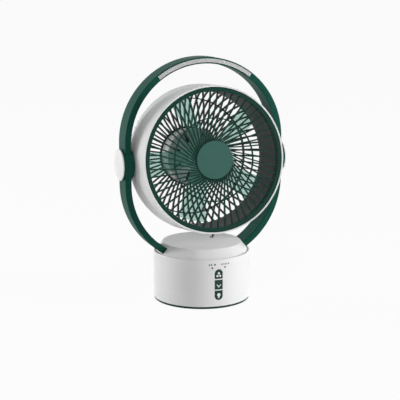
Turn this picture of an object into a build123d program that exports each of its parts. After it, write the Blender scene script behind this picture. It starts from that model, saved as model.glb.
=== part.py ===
from build123d import *
import math
import os

# Rechargeable portable fan: a drum head tilts in a ring handle, which swings on a battery base.
# Millimetres, +Z up, the fan blows towards -Y, the origin is on the floor at the base's axis.

# Base
BASE_R = 72.2
SHELL_WALL = 2.4
RIM_Z = 75.0
RIM_ROUND = 0.9
FOOT_PROUD = 1.0
FOOT_R = 6.0
FOOT_SEAT = 1.2
FOOT_INSET = 14.2
FOOT_COUNT = 4
FOOT_ROUND = 0.6
PLATE_BAND = 3.4
PLATE_INSET = 0.7
PLATE_T = 0.8
PLATE_LIP_H = 5.0
PLATE_LIP_T = 2.0
PLATE_CHAMFER = 0.5
DECK_DROP = 8.0
DECK_T = 3.0
DECK_BOSS_T = 6.0
DECK_BOSS_WALL = 4.0
POST_R = 3.6
POST_INSET = 12.2
POST_COUNT = 4
POST_TURN = 45.0
SCREW_R = 1.5
SCREW_HEAD_R = 2.9
SCREW_HEAD_H = 1.8
SCREW_ROUND = 0.6
SCREW_SINK = 0.3
CROSS_L = 4.0
CROSS_W = 0.8
CROSS_DEEP = 1.0
FIT_GAP = 0.15
OVERCUT = 1.0
PILOT_DEEP = 9.0
BITE = 7.0

# Buttons, one above the other in a pill on the base's front
PILL_W = 12.5
PILL_RISE = 9.4
PILL_DROP = 14.8
BRIDGE_H = 1.5
BUTTON_GAP = 0.25
BUTTON_PROUD = 0.3
BUTTON_DEEP = 4.6
BUTTON_FLANGE_W = 2.0
BUTTON_FLANGE_T = 1.2
BUTTON_TRAVEL = 0.6
BUTTON_SLACK = 0.1
LENS_R = 1.05
LENS_X = 9.8
LENS_RISE = 2.4
LENS_PROUD = 0.2
BOARD_T = 1.6
BOARD_W = 34.0
SWITCH_W = 6.0
SWITCH_T = 3.4
SWITCH_PIN_R = 1.7
SWITCH_PIN_H = 1.2

# Battery and charging inlet
CELL_R = 9.2
CELL_L = 65.0
CELL_PITCH = 20.4
CELL_BUTTON_R = 3.0
CELL_BUTTON_H = 1.0
CELL_SLACK = 0.5
TRAY_T = 1.6
TRAY_H = 11.0
SOCKET_W = 9.0
SOCKET_H = 3.3
SOCKET_DEEP = 8.0
SOCKET_RIM = 1.4
SOCKET_BACK_T = 2.0
SOCKET_SUNK = 0.4
TONGUE_W = 6.6
TONGUE_T = 0.8
TONGUE_SHORT = 2.0
SOCKET_RISE = 18.2

# Swing drive
GEAR_MODULE = 0.8
GEAR_TEETH = 48
PINION_TEETH = 16
GEAR_H = 5.0
GEAR_BACKLASH = 0.22
MESH_SLACK = 0.12
MESH_ADDENDUM = 0.85
MESH_DEDENDUM = 1.25
PRESSURE_ANGLE = 20.0
FLANK_STEPS = 3
RUN_GAP = 0.06
LAYER_GAP = 0.3
SPINDLE_R = 12.0
SPINDLE_NECK_R = 9.0
SPINDLE_BORE_R = 5.5
NUT_H = 4.0
NUT_R = 13.0
SWING_MOTOR_R = 17.0
SWING_MOTOR_H = 15.0
SWING_SHAFT_R = 2.5
EAR_SPAN = 23.0
EAR_T = 2.0
EAR_R = 4.0
CAN_ROUND = 1.2

# Turret
SWIVEL_GAP = 1.0
TURRET_RISE = 12.5
TURRET_TAPER = 9.9
TURRET_WALL = 2.5
TURRET_EDGE = 1.4
TURRET_DISH = 1.2
TURRET_PLATE_T = 3.0
TURRET_LEDGE = 3.0
ARM_HEAD_H = 1.4
ARM_TOE = 1.5
ARM_BITE = 4.0
GLIDE_T = 1.6
GLIDE_R = 33.0
GLIDE_W = 8.0

# Ring handle: a stadium outline with straight sides
HEAD_GAP = 3.7
RING_TOP_RISE = 31.0
ARM_INSET = 6.65
RING_T = 9.4
RING_D = 32.4
RING_WALL = 2.2
RING_EDGE = 1.2
SEAM_Y = 0.0
LAMP_HALF_ANGLE = 37.0
LAMP_W = 5.8
LAMP_T = 1.6
LAMP_PROUD = 0.2
LAMP_END_GAP = 0.1
LAMP_STOP = 2.0
LAMP_SLOT_W = 2.4
LAMP_BOARD_W = 3.8
LAMP_BOARD_T = 1.2

# Tilt pivots
HEAD_CLEAR = 3.8
HEAD_TILT = 5.4
HEAD_RISE = 3.4
BOSS_R = 22.4
BOSS_GAP = 0.7
BOSS_PAD = 3.4
CAP_R = 23.1
CAP_RIM_T = 1.6
CAP_DOME = 1.9
CAP_SPIGOT_H = 1.2
CAP_SPIGOT_WALL = 1.2
BUSH_R = 9.0
STUB_R = 5.0
STUB_FLANGE_R = 10.5
STUB_FLANGE_T = 2.0
PIVOT_POCKET_R = 13.0
PIVOT_POCKET_DEEP = 4.6
WASHER_R = 10.0
WASHER_T = 1.2
PIVOT_SCREW_R = 2.0
PIVOT_SCREW_HEAD_R = 4.4
PIVOT_SCREW_HEAD_H = 2.2
PIVOT_PILOT = 10.0
PIVOT_BITE = 8.0
PAD_R = 13.0
PAD_DEEP = 1.0

# Head drum, its axis just above the pivots, with the grille at the front
DRUM_FRONT_Y = -57.3
DRUM_FRONT_R = 107.6
DRUM_MID_Y = 4.0
DRUM_SWELL = 2.3
DRUM_REAR_Y = 13.0
DRUM_TUCK = 0.5
DRUM_WALL = 2.2
DRUM_ROUND = 0.8
REAR_SCREW_COUNT = 4
REAR_SCREW_STEP = 7
REAR_SCREW_R = 1.1
REAR_SCREW_HEAD_R = 2.2
REAR_BOSS_R = 2.6
REAR_BOSS_GAP = 0.6
REAR_BOSS_L = 10.0

# Front grille
GRILLE_GAP = 0.4
GRILLE_FACE_W = 6.4
GRILLE_FACE_T = 2.4
GRILLE_ROUND = 0.6
GRILLE_FLANGE_T = 1.8
GRILLE_FLANGE_DEEP = 10.0
RIB_COUNT = 54
RIB_W = 1.8
RIB_DEEP = 3.4
RIB_SET_BACK = 2.2
RIB_ROOT = 1.0
RIB_MID_R = 60.0
RIB_MID_TURN = 23.3
RIB_END_TURN = 28.5
STAY_R = 60.5
STAY_W = 1.6
STAY_SINK = 0.6
HUB_R = 27.8
HUB_T = 1.6
HUB_ROUND = 0.7
GRILLE_SINK = 0.6
LATCH_W = 2.0
LATCH_BACK = 19.3
LATCH_L = 3.0
LATCH_DROP = 5.4
LATCH_T = 2.0
LATCH_TOE_T = 1.6
LATCH_TOE_L = 4.0
LATCH_ARM_T = 1.4

# Air duct, rear grille and motor
DUCT_GAP = 3.4
DUCT_WALL = 1.8
DUCT_SET_BACK = 11.3
DUCT_FLANGE_T = 2.0
REAR_DEEP = 49.0
REAR_RIM_T = 2.4
REAR_RIM_STEP = 1.0
REAR_FLAT = 4.0
REAR_LEAN = 8.0
REAR_RIB_COUNT = 60
REAR_RIB_W = 2.2
REAR_RIB_T = 3.2
REAR_STAY_R = 88.0
CUP_SEAT = 2.0
CUP_R = 43.0
CUP_WALL = 2.0
CUP_DEEP = 30.0
CUP_ROUND = 4.5
MOTOR_R = 20.0
MOTOR_L = 14.0
MOTOR_NOSE_R = 6.0
MOTOR_NOSE_PROUD = 1.5
MOTOR_SCREW_COUNT = 3
MOTOR_SCREW_CIRCLE_R = 12.5
CUP_SLOT_W = 4.0
CUP_SLOT_COUNT = 8
SHAFT_R = 1.6
SHAFT_SHORT = 4.0
COVER_INSET = 1.0
REAR_COVER_T = 3.4
REAR_COVER_DOME = 3.0

# Fan wheel
BLADE_COUNT = 5
TIP_GAP = 6.2
BLADE_T = 1.8
BLADE_ROOT_CHORD = 26.0
BLADE_TIP_CHORD = 44.0
BLADE_ROOT_PITCH = 42.0
BLADE_TIP_PITCH = 28.0
BLADE_SWEEP = 14.0
BLADE_Y = -12.0
BLADE_TURN = 32.0
BLADE_ROOT = 2.0
BLADE_TRIM = 4.0
WHEEL_HUB_R = 24.0
WHEEL_HUB_L = 24.0
WHEEL_HUB_WALL = 2.4
WHEEL_BOSS_R = 5.0
WHEEL_ROUND = 3.0
SPINNER_R = 7.0
SPINNER_H = 6.0
SPINNER_WALL = 1.0
SPINNER_ROUND = 1.5

# Worked-out places in the base and turret
PLATE_R = BASE_R - PLATE_INSET
FOOT_CIRCLE_R = BASE_R - FOOT_INSET
POST_CIRCLE_R = BASE_R - POST_INSET
SHELL_Z = FOOT_PROUD + PLATE_BAND
SHELL_IN_R = BASE_R - SHELL_WALL
SOCKET_Z = SHELL_Z + SOCKET_RISE
BATTERY_Z = SHELL_Z + PLATE_T + TRAY_T + CELL_R
DECK_TOP = RIM_Z - DECK_DROP
TURRET_R = SHELL_IN_R - SWIVEL_GAP
TURRET_TOP_R = TURRET_R - TURRET_TAPER
TURRET_TOP_Z = RIM_Z + TURRET_RISE
TURRET_LEAN = math.atan2(TURRET_TAPER, TURRET_RISE)
TURRET_IN_R = TURRET_R - TURRET_WALL / math.cos(TURRET_LEAN)
GLIDE_TOP = DECK_TOP + GLIDE_T
TURRET_PLATE_Z = GLIDE_TOP + RUN_GAP
ARM_Z = TURRET_PLATE_Z + TURRET_PLATE_T
BOSS_LOW_Z = DECK_TOP - DECK_BOSS_T
GEAR_Z = BOSS_LOW_Z - LAYER_GAP - GEAR_H
MOTOR_TOP = GEAR_Z - NUT_H - LAYER_GAP
PINION_Y = (GEAR_TEETH + PINION_TEETH) * GEAR_MODULE / 2 + MESH_SLACK

# Worked-out places in the ring: it clears the drum all round, and the head clears the turret as it tilts
DRUM_MID_R = DRUM_FRONT_R + DRUM_SWELL
DRUM_REAR_R = DRUM_MID_R - DRUM_TUCK
LATCH_Y = DRUM_FRONT_Y + LATCH_BACK
HEAD_SWEEP_R = max(math.hypot(DRUM_FRONT_Y, DRUM_FRONT_R - HEAD_RISE),
                   math.hypot(LATCH_Y, DRUM_MID_R + LATCH_DROP - HEAD_RISE))
PIVOT_Z = TURRET_TOP_Z + HEAD_CLEAR + HEAD_SWEEP_R
RING_IN_R = DRUM_MID_R + HEAD_GAP
RING_R = RING_IN_R + RING_T
RING_TOP_C = PIVOT_Z + RING_TOP_RISE
ARM_OUT_X = TURRET_IN_R - ARM_INSET
RING_LOW_C = ARM_Z + math.sqrt(RING_R ** 2 - ARM_OUT_X ** 2)
ARM_TOE_X = math.sqrt(RING_IN_R ** 2 - (RING_LOW_C - ARM_Z - ARM_TOE) ** 2)
BOSS_X = DRUM_MID_R + BOSS_GAP
BOSS_OUT_X = RING_R + BOSS_PAD
POCKET_X = BOSS_OUT_X - PIVOT_POCKET_DEEP

# Worked-out places in the head
PAD_X = DRUM_MID_R - DRUM_WALL - PAD_DEEP
GRILLE_R = DRUM_FRONT_R - DRUM_WALL
RIB_OUT_R = GRILLE_R - GRILLE_FACE_W
RIB_FRONT_Y = DRUM_FRONT_Y + RIB_SET_BACK
DUCT_FRONT_Y = DRUM_FRONT_Y + DUCT_SET_BACK
DUCT_R = DRUM_FRONT_R - DRUM_WALL - DUCT_GAP
DUCT_FLANGE_R = PAD_X - FIT_GAP
DUCT_FLANGE_Y = DRUM_REAR_Y - DUCT_FLANGE_T
BLADE_R = DUCT_R - DUCT_WALL - TIP_GAP
DOME_R = DRUM_REAR_R - REAR_RIM_STEP
REAR_PLATE_R = CUP_R + CUP_SEAT
DOME_FLAT_R = REAR_PLATE_R + REAR_FLAT
DOME_FOOT_Y = DRUM_REAR_Y + REAR_RIM_T
REAR_Y = DRUM_REAR_Y + REAR_DEEP
REAR_RIB_Y = REAR_Y - REAR_RIB_T
REAR_SCREW_CIRCLE_R = DUCT_R + REAR_BOSS_R + REAR_BOSS_GAP
REAR_SCREW_TURN = 360 / REAR_RIB_COUNT * REAR_SCREW_STEP
REAR_COVER_R = REAR_PLATE_R - COVER_INSET
CUP_FRONT_Y = REAR_RIB_Y - CUP_DEEP
SHAFT_END_Y = CUP_FRONT_Y + CUP_WALL + MOTOR_L - SHAFT_SHORT

# Buttons stack: three equal windows between two bridges
PILL_LOW_Z = SHELL_Z + PILL_RISE
PILL_TOP_Z = RIM_Z - PILL_DROP
PILL_H = PILL_TOP_Z - PILL_LOW_Z
WINDOW_H = (PILL_H - 2 * BRIDGE_H) / 3
BUTTON_FRONT_Y = -(BASE_R + BUTTON_PROUD)
BUTTON_BACK_Y = BUTTON_FRONT_Y + BUTTON_DEEP
SWITCH_Y = BUTTON_BACK_Y + BUTTON_TRAVEL + BUTTON_SLACK + SWITCH_PIN_H
BOARD_Y = SWITCH_Y + SWITCH_T
LENS_Z = PILL_TOP_Z + LENS_RISE


def cyl_z(radius, low, high):
    """A cylinder on the Z axis between two heights."""
    return Pos(0, 0, (low + high) / 2) * Cylinder(radius, high - low)


def cyl_x(radius, low, high):
    """A cylinder on the X axis between two places, its seam to the rear."""
    return Pos((low + high) / 2, 0, 0) * Rot(0, 90, 0) * Rot(0, 0, 90) * Cylinder(radius, high - low)


def cyl_y(radius, low, high):
    """A cylinder on the Y axis between two places."""
    return Pos(0, (low + high) / 2, 0) * Rot(90, 0, 0) * Cylinder(radius, high - low)


def block(low, high):
    """A box between two corners."""
    size = [h - l for l, h in zip(low, high)]
    centre = [(l + h) / 2 for l, h in zip(low, high)]
    return Pos(*centre) * Box(*size)


def turned_z(points):
    """A solid of revolution about Z from (radius, height) corners."""
    return revolve(Plane.XZ * Polygon(*points, align=None), Axis.Z, 360)


def around_z(shape, count, radius, first=0.0):
    """Copies of a shape on a circle about Z."""
    return [Rot(0, 0, first + 360 * i / count) * Pos(radius, 0, 0) * shape for i in range(count)]


def around_y(shape, count, first=0.0):
    """Copies of a shape about the head's axis."""
    return [Rot(0, first + 360 * i / count, 0) * shape for i in range(count)]


def on_pivot(shape):
    """Carries a piece made about the head's own centre to the pivot, tilted as it rests."""
    return Pos(0, 0, PIVOT_Z) * Rot(-HEAD_TILT, 0, 0) * Pos(0, 0, HEAD_RISE) * shape


def off_axis(shape):
    """Moves a piece made on the X axis down to the pivots, seen from the head's own centre."""
    return Pos(0, 0, -HEAD_RISE) * shape


def at_pivot(shape):
    """Carries an untilted piece made about the pivot axis to its height."""
    return Pos(0, 0, PIVOT_Z) * shape


def cross_z(low, high):
    """A screw's cross recess between two heights."""
    long = CROSS_L / 2
    wide = CROSS_W / 2
    return block((-long, -wide, low), (long, wide, high)) + block((-wide, -long, low), (wide, long, high))


def to_left(shape):
    """The same round piece on the other side."""
    return Rot(0, 0, 180) * shape


def group(shapes):
    """Separate solids in one node."""
    return Compound(children=[s for shape in shapes for s in shape.solids()])


# Base pieces

def window(index, grow, low_y, high_y):
    """A button's outline, counted from the bottom of the pill, as a block along Y."""
    low = PILL_LOW_Z + index * (WINDOW_H + BRIDGE_H)
    pill = Pos(0, (PILL_LOW_Z + PILL_TOP_Z) / 2) * Rot(0, 0, 90)
    pill = pill * SlotOverall(PILL_H + 2 * grow, PILL_W + 2 * grow)
    band = Pos(0, low + WINDOW_H / 2) * Rectangle(PILL_W + 2 * grow, WINDOW_H + 2 * grow)
    return Pos(0, high_y, 0) * extrude(Plane.XZ * (pill & band), high_y - low_y)


def lens_places():
    """The two indicator places on the base's front."""
    return [Pos(side * LENS_X, 0, LENS_Z) for side in (-1, 1)]


def socket_slot(grow, low_y, high_y):
    """The charging inlet's rounded outline, along Y."""
    slot = SlotOverall(SOCKET_W + 2 * grow, SOCKET_H + 2 * grow)
    return Pos(0, high_y, SOCKET_Z) * extrude(Plane.XZ * slot, high_y - low_y)


def base_shell():
    """The white cup: wall, deck and bearing boss, posts and the openings for buttons and inlet."""
    wall = cyl_z(BASE_R, SHELL_Z, RIM_Z) - cyl_z(SHELL_IN_R, SHELL_Z, RIM_Z)
    wall = fillet(wall.edges().filter_by(GeomType.CIRCLE).group_by(Axis.Z)[-1], RIM_ROUND)
    deck = cyl_z(SHELL_IN_R, DECK_TOP - DECK_T, DECK_TOP)
    boss = cyl_z(SPINDLE_R + DECK_BOSS_WALL, BOSS_LOW_Z, DECK_TOP)
    post = cyl_z(POST_R, SHELL_Z + PLATE_T, DECK_TOP - DECK_T)
    ear_post = cyl_z(POST_R, MOTOR_TOP, DECK_TOP - DECK_T)
    ears = [Pos(side * EAR_SPAN, PINION_Y, 0) * ear_post for side in (-1, 1)]
    shell = wall + [deck, boss] + around_z(post, POST_COUNT, POST_CIRCLE_R, POST_TURN) + ears
    shell -= cyl_z(SPINDLE_R + RUN_GAP, BOSS_LOW_Z, DECK_TOP)
    pilot = cyl_z(SCREW_R, SHELL_Z, SHELL_Z + PLATE_T + PILOT_DEEP)
    shell -= around_z(pilot, POST_COUNT, POST_CIRCLE_R, POST_TURN)
    ear_pilot = cyl_z(SCREW_R, MOTOR_TOP, MOTOR_TOP + PILOT_DEEP)
    shell -= [Pos(side * EAR_SPAN, PINION_Y, 0) * ear_pilot for side in (-1, 1)]
    deep = 2 * SHELL_WALL + OVERCUT
    shell -= [window(i, 0, -BASE_R - OVERCUT, -BASE_R + deep) for i in range(3)]
    hole = cyl_y(LENS_R + FIT_GAP / 2, -BASE_R - OVERCUT, -BASE_R + deep)
    shell -= [place * hole for place in lens_places()]
    shell -= socket_slot(SOCKET_RIM, BASE_R - deep, BASE_R + OVERCUT)
    return shell


def base_plate():
    """The green underside with its visible band, its lip inside the shell and the screw holes."""
    plate = cyl_z(PLATE_R, FOOT_PROUD, SHELL_Z)
    lip_r = SHELL_IN_R - FIT_GAP
    top = SHELL_Z + PLATE_T
    lip = cyl_z(lip_r, SHELL_Z, top + PLATE_LIP_H) - cyl_z(lip_r - PLATE_LIP_T, top, top + PLATE_LIP_H)
    plate = chamfer(plate.edges().group_by(Axis.Z)[0], PLATE_CHAMFER) + lip
    seats = cyl_z(FOOT_R, 0, FOOT_PROUD + FOOT_SEAT)
    plate -= around_z(seats, FOOT_COUNT, FOOT_CIRCLE_R)
    hole = cyl_z(SCREW_R + FIT_GAP, 0, top)
    hole += cyl_z(SCREW_HEAD_R + FIT_GAP, 0, FOOT_PROUD + SCREW_HEAD_H)
    plate -= around_z(hole, POST_COUNT, POST_CIRCLE_R, POST_TURN)
    return plate - block((-BOARD_W, -BASE_R, top), (BOARD_W, BOARD_Y + BOARD_T, top + PLATE_LIP_H))


def rubber_feet():
    """Four feet, seated in the plate and standing proud of it."""
    foot = cyl_z(FOOT_R - FIT_GAP, 0, FOOT_PROUD + FOOT_SEAT)
    foot = fillet(foot.edges().group_by(Axis.Z)[0], FOOT_ROUND)
    return group(around_z(foot, FOOT_COUNT, FOOT_CIRCLE_R))


def base_screws():
    """Four screws up through the plate into the shell's posts."""
    head = cyl_z(SCREW_HEAD_R, FOOT_PROUD + SCREW_SINK, FOOT_PROUD + SCREW_HEAD_H)
    screw = head + cyl_z(SCREW_R - FIT_GAP / 2, FOOT_PROUD + SCREW_HEAD_H, SHELL_Z + PLATE_T + BITE)
    screw -= cross_z(FOOT_PROUD, FOOT_PROUD + CROSS_DEEP)
    return group(around_z(screw, POST_COUNT, POST_CIRCLE_R, POST_TURN))


def cell_places():
    """The two cells side by side along X."""
    return [Pos(0, side * CELL_PITCH / 2, BATTERY_Z) for side in (-1, 1)]


def battery_cells():
    """Two round lithium cells with a raised positive button."""
    shoulder = CELL_L / 2 - CELL_BUTTON_H
    cell = cyl_x(CELL_R - FIT_GAP, -CELL_L / 2, shoulder) + cyl_x(CELL_BUTTON_R, shoulder, CELL_L / 2)
    return group([place * cell for place in cell_places()])


def battery_tray():
    """An open tray that cradles the cells on the base plate."""
    room = CELL_L / 2 + CELL_SLACK
    half_l = room + TRAY_T
    half_w = CELL_PITCH / 2 + CELL_R + TRAY_T
    low = SHELL_Z + PLATE_T
    tray = block((-half_l, -half_w, low), (half_l, half_w, low + TRAY_H))
    tray -= [place * cyl_x(CELL_R, -room, room) for place in cell_places()]
    return tray


def window_z(index):
    """The height of a button's middle."""
    return PILL_LOW_Z + index * (WINDOW_H + BRIDGE_H) + WINDOW_H / 2


def control_board():
    """The upright circuit board behind the buttons, between the base plate and the deck."""
    top = DECK_TOP - DECK_T
    low = SHELL_Z + PLATE_T
    return block((-BOARD_W / 2, BOARD_Y, low), (BOARD_W / 2, BOARD_Y + BOARD_T, top))


def tact_switches():
    """Three switches soldered to the board, one behind each button."""
    body = block((-SWITCH_W / 2, SWITCH_Y, -SWITCH_W / 2), (SWITCH_W / 2, BOARD_Y, SWITCH_W / 2))
    pin = cyl_y(SWITCH_PIN_R, SWITCH_Y - SWITCH_PIN_H, SWITCH_Y)
    return group([Pos(0, 0, window_z(i)) * (body + pin) for i in range(3)])


def push_button(index):
    """A button: a cap that follows the shell's curve, with side flanges that keep it in."""
    cap = window(index, -BUTTON_GAP, BUTTON_FRONT_Y - OVERCUT, BUTTON_BACK_Y)
    cap &= cyl_z(-BUTTON_FRONT_Y, 0, RIM_Z)
    wide = PILL_W / 2 + BUTTON_FLANGE_W
    half = WINDOW_H / 4
    mid = window_z(index)
    behind = -math.sqrt(SHELL_IN_R ** 2 - wide ** 2) + BUTTON_GAP
    flange = block((-wide, behind, mid - half), (wide, behind + BUTTON_FLANGE_T, mid + half))
    return cap + flange


def indicator_lenses():
    """Two small light pipes from the board to the base's front."""
    lens = cyl_y(LENS_R, -BASE_R - LENS_PROUD, BOARD_Y)
    return group([place * lens for place in lens_places()])


def charge_socket():
    """The charging inlet at the back: a metal shroud in a moulded rim, with its contact tongue."""
    back = BASE_R - SOCKET_DEEP
    rim = socket_slot(SOCKET_RIM - FIT_GAP, back - SOCKET_BACK_T, BASE_R - SOCKET_SUNK)
    cavity = socket_slot(0, back, BASE_R)
    tongue = block((-TONGUE_W / 2, back, SOCKET_Z - TONGUE_T / 2),
                   (TONGUE_W / 2, BASE_R - TONGUE_SHORT, SOCKET_Z + TONGUE_T / 2))
    return rim - cavity + tongue


# Swing drive

def gear_blank(teeth, turn):
    """A spur gear: a few points on each involute flank, eased for backlash."""
    pitch_r = teeth * GEAR_MODULE / 2
    base_r = pitch_r * math.cos(math.radians(PRESSURE_ANGLE))
    tip_r = pitch_r + MESH_ADDENDUM * GEAR_MODULE
    root_r = pitch_r - MESH_DEDENDUM * GEAR_MODULE
    start = max(base_r, root_r)

    def involute(radius):
        angle = math.acos(min(1.0, base_r / radius))
        return math.tan(angle) - angle

    half = math.pi / (2 * teeth) - GEAR_BACKLASH / (2 * pitch_r)
    flank = []
    for step in range(FLANK_STEPS + 1):
        radius = start + (tip_r - start) * step / FLANK_STEPS
        flank.append((radius, half + involute(pitch_r) - involute(radius)))
    flank = [(root_r, flank[0][1])] + flank if root_r < start else flank
    points = []
    for tooth in range(teeth):
        middle = math.radians(turn) + 2 * math.pi * tooth / teeth
        for radius, offset in flank:
            points.append((radius * math.cos(middle - offset), radius * math.sin(middle - offset)))
        for radius, offset in reversed(flank):
            points.append((radius * math.cos(middle + offset), radius * math.sin(middle + offset)))
    return Pos(0, 0, GEAR_Z) * extrude(Polygon(*points, align=None), GEAR_H)


def swing_gear():
    """The gear keyed on the spindle's neck."""
    return gear_blank(GEAR_TEETH, 90) - cyl_z(SPINDLE_NECK_R, GEAR_Z, GEAR_Z + GEAR_H)


def swing_pinion():
    """The motor's pinion with its shaft, a gap facing the big gear's tooth."""
    shaft = cyl_z(SWING_SHAFT_R, MOTOR_TOP - SWING_MOTOR_H / 2, GEAR_Z)
    return Pos(0, PINION_Y, 0) * (gear_blank(PINION_TEETH, 180 / PINION_TEETH - 90) + shaft)


def swing_motor():
    """The flat geared motor under the deck, with two ears on the deck's posts."""
    top = MOTOR_TOP
    can = cyl_z(SWING_MOTOR_R, top - SWING_MOTOR_H, top - EAR_T)
    can = fillet(can.edges().group_by(Axis.Z)[0], CAN_ROUND)
    lid = cyl_z(SWING_MOTOR_R, top - EAR_T, top)
    strap = block((-EAR_SPAN, -EAR_R, top - EAR_T), (EAR_SPAN, EAR_R, top))
    ends = [Pos(side * EAR_SPAN, 0, 0) * cyl_z(EAR_R, top - EAR_T, top) for side in (-1, 1)]
    bore = cyl_z(SWING_SHAFT_R + RUN_GAP, top - SWING_MOTOR_H / 2 - LAYER_GAP, top)
    motor = can + [lid, strap] + ends - bore
    motor -= [Pos(side * EAR_SPAN, 0, 0) * cyl_z(SCREW_R, top - EAR_T, top) for side in (-1, 1)]
    return Pos(0, PINION_Y, 0) * motor


def swing_screws():
    """Two screws up through the motor's ears."""
    low = MOTOR_TOP - EAR_T
    head = cyl_z(SCREW_HEAD_R, low - SCREW_HEAD_H, low)
    screw = head + cyl_z(SCREW_R - FIT_GAP / 2, low, MOTOR_TOP + BITE)
    return group([Pos(side * EAR_SPAN, PINION_Y, 0) * screw for side in (-1, 1)])


def glide_ring():
    """The slippery ring on the deck that the turret turns on."""
    return cyl_z(GLIDE_R, DECK_TOP, GLIDE_TOP) - cyl_z(GLIDE_R - GLIDE_W, DECK_TOP, GLIDE_TOP)


# Turret and ring handle

def stadium(radius, low_y, high_y):
    """The ring's outline at a radius, as a block along Y."""
    span = RING_TOP_C - RING_LOW_C
    face = Pos(0, (RING_TOP_C + RING_LOW_C) / 2) * Rot(0, 0, 90) * SlotCenterToCenter(span, 2 * radius)
    return Pos(0, high_y, 0) * extrude(Plane.XZ * face, high_y - low_y)


def ring_band(grow, low_y, high_y):
    """The ring's band, made thicker by grow on both sides."""
    return stadium(RING_R + grow, low_y, high_y) - stadium(RING_IN_R - grow, low_y, high_y)


def turret_cap():
    """The white truncated cone that closes the base's top and takes the ring's two arms."""
    skirt_z = TURRET_PLATE_Z + RUN_GAP
    cone = turned_z([(0, skirt_z), (TURRET_R, skirt_z), (TURRET_R, RIM_Z),
                     (TURRET_TOP_R, TURRET_TOP_Z), (0, TURRET_TOP_Z)])
    edges = cone.edges().filter_by(GeomType.CIRCLE).group_by(Axis.Z)
    cone = fillet(edges[-1], TURRET_EDGE)
    dish_r = (TURRET_TOP_R ** 2 + TURRET_DISH ** 2) / (2 * TURRET_DISH)
    cone -= Pos(0, 0, TURRET_TOP_Z - TURRET_DISH + dish_r) * Sphere(dish_r)
    roof = TURRET_TOP_Z - TURRET_DISH - TURRET_WALL
    roof_r = TURRET_IN_R - (roof - RIM_Z) * math.tan(TURRET_LEAN)
    hollow = turned_z([(0, skirt_z), (TURRET_IN_R, skirt_z), (TURRET_IN_R, RIM_Z), (roof_r, roof), (0, roof)])
    ledge = cyl_z(TURRET_IN_R, ARM_Z, ARM_Z + TURRET_WALL)
    ledge -= cyl_z(TURRET_IN_R - TURRET_LEDGE, ARM_Z, ARM_Z + TURRET_WALL)
    cap = cone - hollow + ledge
    reach = RING_D / 2 + FIT_GAP
    return cap - ring_band(FIT_GAP, -reach, reach)


def turret_plate():
    """The turning plate: a disc on the glide ring and a hollow spindle down through the deck."""
    disc = cyl_z(TURRET_IN_R - FIT_GAP, TURRET_PLATE_Z, ARM_Z)
    thick = cyl_z(SPINDLE_R, BOSS_LOW_Z - LAYER_GAP, TURRET_PLATE_Z)
    neck = cyl_z(SPINDLE_NECK_R, GEAR_Z - NUT_H, BOSS_LOW_Z - LAYER_GAP)
    plate = disc + [thick, neck] - cyl_z(SPINDLE_BORE_R, GEAR_Z - NUT_H, ARM_Z)
    hole = cyl_z(SCREW_R + FIT_GAP, TURRET_PLATE_Z, ARM_Z)
    hole += cyl_z(SCREW_HEAD_R + FIT_GAP, TURRET_PLATE_Z, TURRET_PLATE_Z + RUN_GAP + ARM_HEAD_H)
    return plate - [place * hole for place in arm_screw_places()]


def arm_screw_places():
    """Where the arms' feet are screwed to the turning plate, midway across each foot."""
    across = (ARM_OUT_X + ARM_TOE_X) / 2
    along = RING_D / 2 - RING_WALL * 2
    return [Pos(sx * across, sy * along, 0) for sx in (-1, 1) for sy in (-1, 1)]


def arm_screws():
    """Four screws up through the turning plate into the arms' feet, heads sunk in the plate."""
    low = TURRET_PLATE_Z + RUN_GAP
    screw = cyl_z(SCREW_HEAD_R, low, low + ARM_HEAD_H) + cyl_z(SCREW_R - FIT_GAP / 2, low, ARM_Z + ARM_BITE)
    return group([place * screw for place in arm_screw_places()])


def spindle_nut():
    """The nut under the gear that keeps the turret down."""
    nut = Pos(0, 0, GEAR_Z - NUT_H) * extrude(RegularPolygon(NUT_R, 6), NUT_H)
    return nut - cyl_z(SPINDLE_NECK_R, GEAR_Z - NUT_H, GEAR_Z)


def lamp_arc(width, half_angle, low_y, high_y):
    """A strip along the ring's top arc."""
    mid_r = (RING_R + RING_IN_R) / 2
    long = 2 * RING_R
    spread = long * math.tan(math.radians(half_angle))
    band = Circle(mid_r + width / 2) - Circle(mid_r - width / 2)
    wedge = Polygon((0, 0), (spread, long), (-spread, long), align=None)
    face = Pos(0, RING_TOP_C) * (band & wedge)
    return Pos(0, high_y, 0) * extrude(Plane.XZ * face, high_y - low_y)


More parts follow.
